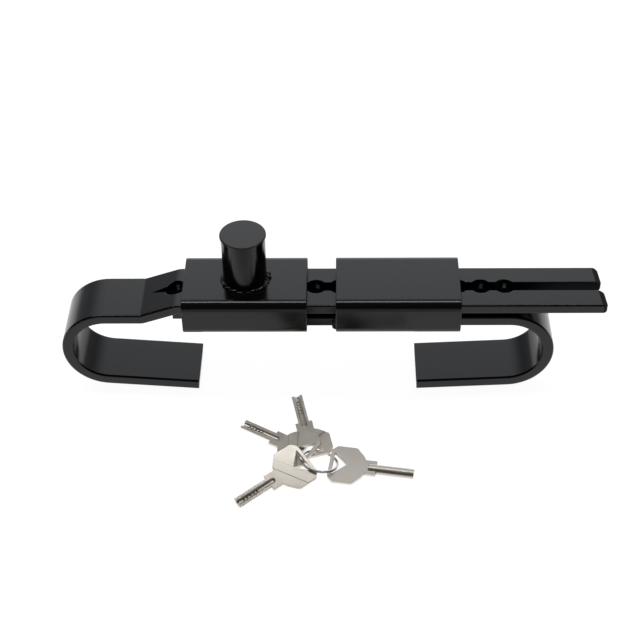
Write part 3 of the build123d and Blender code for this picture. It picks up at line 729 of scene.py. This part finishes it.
class LOCK_OT_ring(bpy.types.Operator):
    """Winds the split ring that holds the keys, in the place of the CAD ring.

    The wire runs twice around. At the angle a from 0 to 4 pi its middle lies at
    centre + R * (cos a * along + sin a * across) + h(a) * axis, where h climbs by one wire height in a
    smooth step at the crossing. Its section is a superellipse, flat where the turns meet.
    """

    bl_idname = "container_lock.ring"
    bl_label = "Wind the split ring"

    def execute(self, context):
        settings = context.scene.lock_ring
        steps = 360
        section_points = 20
        squareness = 0.6
        end_share = 0.7
        # Split ring of flattened spring wire, nickel plated over a tumbled surface
        material = worn_metal(
            "plated_wire", settings.colour, roughness=0.2, pitch=0.4 * MM, depth=0.002 * MM
        )
        cad = node_points("key_ring")
        centre = (cad.min(axis=0) + cad.max(axis=0)) / 2
        along, across, axis = np.linalg.svd(cad - centre, full_matrices=False)[2]
        outer = np.linalg.norm(cad - centre, axis=1).max()
        middle = outer - settings.wire_width / 2
        crossing = settings.crossing
        turns = np.linspace(crossing, 2 * FULL_TURN - crossing, steps)
        step = np.clip((turns - FULL_TURN + crossing) / (2 * crossing), 0, 1)
        climb = (step * step * (3 - 2 * step) - 0.5) * settings.wire_height
        angles = (turns + settings.opening)[:, None]
        outward = np.cos(angles) * along + np.sin(angles) * across
        line = centre + middle * outward + climb[:, None] * axis
        around = np.linspace(0, FULL_TURN, section_points, endpoint=False)
        wide = flattened(np.cos(around), squareness) * settings.wire_width / 2
        high = flattened(np.sin(around), squareness) * settings.wire_height / 2
        blunt = np.ones(steps)
        blunt[[0, -1]] = end_share
        section = wide[None, :, None] * outward[:, None, :] + high[None, :, None] * axis
        points = line[:, None, :] + blunt[:, None, None] * section
        rows, columns = points.shape[:2]
        flat = np.concatenate([points.reshape(-1, 3), line[[0, -1]]])
        faces = grid_faces(rows, columns, False, True) + end_fans(rows, columns)
        piece = mesh_piece("split_ring", flat, faces, BODY_OF["key_ring"], material)
        face_outward(piece)
        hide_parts("key_ring")
        return {"FINISHED"}


def key_material(settings):
    """Nickel silver, blanked and tumbled: a soft grain under a warm grey shine.

    An ambient occlusion mask darkens the corners beside the raised band and the blade: painted shade.
    """
    shaded_level, unshaded_level = 0.55, 0.97
    grain_pitch, grain_depth = 0.35 * MM, 0.004 * MM
    material, tree, place = new_material("nickel_silver")
    # Painted shade: ambient occlusion darkens the colour in the corners
    corner_occlusion = add_node(
        tree,
        "ShaderNodeAmbientOcclusion",
        {"Distance": settings.corner_shade_reach},
        only_local=True,
        samples=8,
    )
    unshaded_share = add_node(
        tree,
        "ShaderNodeMapRange",
        {"Value": corner_occlusion.outputs["AO"], "From Min": shaded_level, "From Max": unshaded_level},
    )
    colour = add_node(
        tree,
        "ShaderNodeMix",
        {
            MIX_SHARE: unshaded_share.outputs["Result"],
            MIX_FIRST: linear(settings.corner_shade_colour),
            MIX_SECOND: linear(settings.colour),
        },
        data_type="RGBA",
    )
    mixed = colour.outputs[MIX_RESULT]
    lay_metal(tree, place, mixed, settings.roughness, grain_pitch, grain_depth)
    return material


class LOCK_OT_keys(bpy.types.Operator):
    """Finishes the four keys in tumbled nickel silver"""

    bl_idname = "container_lock.keys"
    bl_label = "Finish the keys"

    def execute(self, context):
        settings = context.scene.lock_keys
        paint(nodes_in("nickel_silver"), key_material(settings))
        return {"FINISHED"}


# Works inside the housing

class LOCK_OT_works(bpy.types.Operator):
    """Finishes the pieces inside the housing"""

    bl_idname = "container_lock.works"
    bl_label = "Finish the works"

    def execute(self, context):
        settings = context.scene.lock_works
        # Turned brass: fine lathe rings across the upright axis
        brass = worn_metal(
            "turned_brass", settings.brass_colour,
            roughness=0.26, pitch=0.25 * MM, depth=0.003 * MM, stretch=LATHE_RINGS,
        )
        paint(nodes_in("turned_brass"), brass)
        # Turned free-cutting steel, left bright and oiled
        steel = worn_metal(
            "turned_steel", settings.steel_colour,
            roughness=0.3, pitch=0.3 * MM, depth=0.003 * MM, stretch=LATHE_RINGS,
        )
        paint(nodes_in("turned_steel"), steel)
        # Hardened and ground steel: a little darker and smoother than the turned steel
        ground = worn_metal(
            "ground_steel", settings.ground_colour, roughness=0.22, pitch=0.2 * MM, depth=0.002 * MM
        )
        paint(nodes_in("hardened_steel"), ground)
        # Oiled music wire, drawn and coiled
        spring = worn_metal(
            "music_wire", settings.spring_colour, roughness=0.28, pitch=0.3 * MM, depth=0.002 * MM
        )
        paint(nodes_in("spring_steel"), spring)
        return {"FINISHED"}


# Stage

# Brightness of the studio's dome, as shares of the sky's strength, by degrees up from the back horizon
SKY_STOPS = ((0, 1.0), (36, 1.0), (42, 0.68), (50, 0.44), (62, 0.3), (90, 0.2), (97, 0.04), (180, 0.03))

# The white sweep is full up to the first sideways share of a direction, and dim from the second on
SWEEP_SIDES = (0.1, 0.6)
SWEEP_DIM = 0.2

# Strength that the camera finds on the floor, and that mirrors find on it in front of the lock and at it
SEEN_FLOOR = 1.2
MIRRORED_FLOOR = (0.62, 1.2)
# Behind the lock the mirrored floor dims from the first of these places along Y to the second, down to
# this share
BACK_FLOOR = (0.05, 0.8)
BACK_DIM = 0.55
# Share of the backdrop's white in the floor that is seen. The rest is lit paper, which keeps the shadow.
BACKDROP_SHARE = 0.8


def white_when_seen(tree, lit, mirrored):
    """White backdrop for camera, glossy and transmission rays, and the lit surface for the light itself.

    Mirrored is the strength that the glossy and transmission rays find.
    """
    path = add_node(tree, "ShaderNodeLightPath").outputs
    seen = add_node(
        tree, "ShaderNodeMath", {0: path["Is Camera Ray"], 1: path["Is Glossy Ray"]}, operation="MAXIMUM"
    )
    seen_or_through = add_node(
        tree,
        "ShaderNodeMath",
        {0: seen.outputs["Value"], 1: path["Is Transmission Ray"]},
        operation="MAXIMUM",
    )
    by_camera = add_node(
        tree, "ShaderNodeMath", {0: path["Is Camera Ray"], 1: SEEN_FLOOR}, operation="MULTIPLY"
    )
    strength = add_node(
        tree, "ShaderNodeMath", {0: by_camera.outputs["Value"], 1: mirrored}, operation="MAXIMUM"
    )
    white = add_node(
        tree, "ShaderNodeEmission", {"Color": (1, 1, 1, 1), "Strength": strength.outputs["Value"]}
    )
    share = add_node(
        tree,
        "ShaderNodeMath",
        {0: seen_or_through.outputs["Value"], 1: BACKDROP_SHARE},
        operation="MULTIPLY",
    )
    mixed = add_node(
        tree, "ShaderNodeMixShader", {0: share.outputs["Value"], 1: lit, 2: white.outputs["Emission"]}
    )
    return mixed.outputs["Shader"]


def level_sheet(name, left, right, front, back, height, material):
    """A level rectangle in one material."""
    mesh = bpy.data.meshes.new(name)
    corners = [(left, front, height), (right, front, height), (right, back, height), (left, back, height)]
    mesh.from_pydata(corners, [], [(0, 1, 2, 3)])
    mesh.materials.append(material)
    sheet = bpy.data.objects.new(name, mesh)
    bpy.context.scene.collection.objects.link(sheet)
    return sheet


def build_floor(settings):
    """A wide pale floor just under the object's lowest point."""
    reach = 6.0
    lowest = Vector(CAD_BOX[0]).z
    material, tree, place = new_material("white_floor")
    paper = add_node(tree, "ShaderNodeBsdfDiffuse", {"Color": linear(settings.floor_colour)})
    depth = add_node(tree, "ShaderNodeSeparateXYZ", {"Vector": place}).outputs["Y"]
    glow = add_node(
        tree,
        "ShaderNodeMapRange",
        {
            "Value": depth,
            "From Min": settings.far_floor,
            "From Max": settings.near_floor,
            "To Min": MIRRORED_FLOOR[0],
            "To Max": MIRRORED_FLOOR[1],
        },
        interpolation_type="SMOOTHSTEP",
    )
    behind = add_node(
        tree,
        "ShaderNodeMapRange",
        {
            "Value": depth,
            "From Min": BACK_FLOOR[0],
            "From Max": BACK_FLOOR[1],
            "To Min": 1.0,
            "To Max": BACK_DIM,
        },
        interpolation_type="SMOOTHSTEP",
    )
    mirrored = add_node(
        tree,
        "ShaderNodeMath",
        {0: glow.outputs["Result"], 1: behind.outputs["Result"]},
        operation="MULTIPLY",
    )
    surface = white_when_seen(tree, paper.outputs["BSDF"], mirrored.outputs["Value"])
    add_node(tree, "ShaderNodeOutputMaterial", {"Surface": surface})
    floor = level_sheet("floor", -reach, reach, -reach, reach, lowest - settings.floor_drop, material)


def build_sky(settings):
    """World that is white behind, dim overhead and dark in front, as in a studio with a white sweep.

    The brightness follows the height angle of the direction about the X axis: 0 at the back horizon,
    90 degrees overhead and 180 degrees at the front horizon. It falls off to both sides, as the sweep is
    only so wide.
    """
    cool_white = (0.97, 1.0, 1.05, 1.0)
    world = bpy.data.worlds.new("studio")
    world.use_nodes = True
    tree = world.node_tree
    tree.nodes.clear()
    direction = add_node(tree, "ShaderNodeTexCoord").outputs["Generated"]
    parts = add_node(tree, "ShaderNodeSeparateXYZ", {"Vector": direction}).outputs
    angle = add_node(tree, "ShaderNodeMath", {0: parts["Z"], 1: parts["Y"]}, operation="ARCTAN2")
    half_turns = add_node(
        tree, "ShaderNodeMath", {0: angle.outputs["Value"], 1: 1 / np.pi}, operation="MULTIPLY"
    )
    dome = add_node(tree, "ShaderNodeValToRGB", {"Fac": half_turns.outputs["Value"]})
    stops = dome.color_ramp.elements
    stops.remove(stops[1])
    stops[0].position = 0.0
    stops[0].color = (1, 1, 1, 1)
    for degrees, share in SKY_STOPS[1:]:
        stops.new(degrees / 180).color = (share, share, share, 1)
    aside = add_node(tree, "ShaderNodeMath", {0: parts["X"]}, operation="ABSOLUTE")
    sweep = add_node(
        tree,
        "ShaderNodeMapRange",
        {
            "Value": aside.outputs["Value"],
            "From Min": SWEEP_SIDES[0],
            "From Max": SWEEP_SIDES[1],
            "To Min": 1.0,
            "To Max": SWEEP_DIM,
        },
        interpolation_type="SMOOTHSTEP",
    )
    height_share = add_node(
        tree,
        "ShaderNodeMath",
        {0: dome.outputs["Color"], 1: settings.sky_strength},
        operation="MULTIPLY",
    )
    strength = add_node(
        tree,
        "ShaderNodeMath",
        {0: height_share.outputs["Value"], 1: sweep.outputs["Result"]},
        operation="MULTIPLY",
    )
    light = add_node(
        tree, "ShaderNodeBackground", {"Color": cool_white, "Strength": strength.outputs["Value"]}
    )
    add_node(tree, "ShaderNodeOutputWorld", {"Surface": light.outputs["Background"]})
    bpy.context.scene.world = world


def add_flag(settings):
    """A black card high over the keys, which keeps the strip light's mirror image off them."""
    height = 0.5
    past_left, past_right = 130 * MM, 230 * MM
    near_gap, far_gap = 3 * MM, 70 * MM
    low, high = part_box("key_ring")
    left, right = low.x - past_left, high.x + past_right
    front, back = high.y + near_gap, high.y + far_gap
    material, tree, _ = new_material("black_card")
    card = add_node(tree, "ShaderNodeBsdfDiffuse", {"Color": linear(settings.flag_colour)})
    add_node(tree, "ShaderNodeOutputMaterial", {"Surface": card.outputs["BSDF"]})
    flag = level_sheet("flag", left, right, front, back, height, material)


def add_strip(settings):
    """The long rectangular light that hangs over the lock."""
    lamp = bpy.data.lights.new("strip", "AREA")
    lamp.shape = "RECTANGLE"
    lamp.size = settings.strip_length
    lamp.size_y = settings.strip_width
    lamp.energy = settings.strip_power
    holder = bpy.data.objects.new("strip", lamp)
    place = Vector(settings.strip_place)
    holder.location = place
    holder.rotation_euler = (Vector(settings.strip_aim) - place).to_track_quat("-Z", "Y").to_euler()
    bpy.context.scene.collection.objects.link(holder)


def place_camera(settings):
    """Camera at its place, looking down and turned, then leaned about its own axis."""
    up_angle = settings.elevation
    turn = settings.heading
    lean = settings.roll
    back = Vector((sin(turn) * cos(up_angle), -cos(turn) * cos(up_angle), sin(up_angle)))
    right = Vector((cos(turn), sin(turn), 0))
    up = back.cross(right)
    leaned_right = right * cos(lean) + up * sin(lean)
    leaned_up = up * cos(lean) - right * sin(lean)
    view = bpy.data.cameras.new("camera")
    view.lens = settings.lens
    view.sensor_width = 36.0
    view.clip_end = 20.0
    camera = bpy.data.objects.new("camera", view)
    axes = Matrix((leaned_right, leaned_up, back)).transposed()
    camera.matrix_world = Matrix.Translation(settings.camera_place) @ axes.to_4x4()
    bpy.context.scene.collection.objects.link(camera)
    bpy.context.scene.camera = camera


class LOCK_OT_stage(bpy.types.Operator):
    """Sets the white floor, the studio light and the camera"""

    bl_idname = "container_lock.stage"
    bl_label = "Set the stage"

    def execute(self, context):
        settings = context.scene.lock_stage
        build_floor(settings)
        build_sky(settings)
        add_strip(settings)
        add_flag(settings)
        place_camera(settings)
        context.scene.view_settings.view_transform = "Standard"
        return {"FINISHED"}


class LOCK_PT_panel(bpy.types.Panel):
    """Sidebar panel with the steps and their settings"""

    bl_idname = "LOCK_PT_panel"
    bl_label = "Container lock"
    bl_space_type = "VIEW_3D"
    bl_region_type = "UI"
    bl_category = "Container lock"

    def draw(self, context):
        for group, settings in SETTINGS.items():
            box = self.layout.box()
            for name in settings.__annotations__:
                box.prop(getattr(context.scene, group), name)
        for operator in OPERATORS:
            self.layout.operator(operator.bl_idname)


OPERATORS = (LOCK_OT_coat, LOCK_OT_beads, LOCK_OT_ring, LOCK_OT_keys, LOCK_OT_works, LOCK_OT_stage)
CLASSES = (*SETTINGS.values(), *OPERATORS, LOCK_PT_panel)


def register():
    for entry in CLASSES:
        bpy.utils.register_class(entry)
    for group, settings in SETTINGS.items():
        setattr(bpy.types.Scene, group, PointerProperty(type=settings))


def unregister():
    for group in SETTINGS:
        delattr(bpy.types.Scene, group)
    for entry in reversed(CLASSES):
        bpy.utils.unregister_class(entry)


def main():
    """Registers the add-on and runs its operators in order."""
    register()
    bpy.ops.container_lock.coat()
    bpy.ops.container_lock.beads()
    bpy.ops.container_lock.ring()
    bpy.ops.container_lock.keys()
    bpy.ops.container_lock.works()
    bpy.ops.container_lock.stage()


if __name__ == "__main__":
    main()
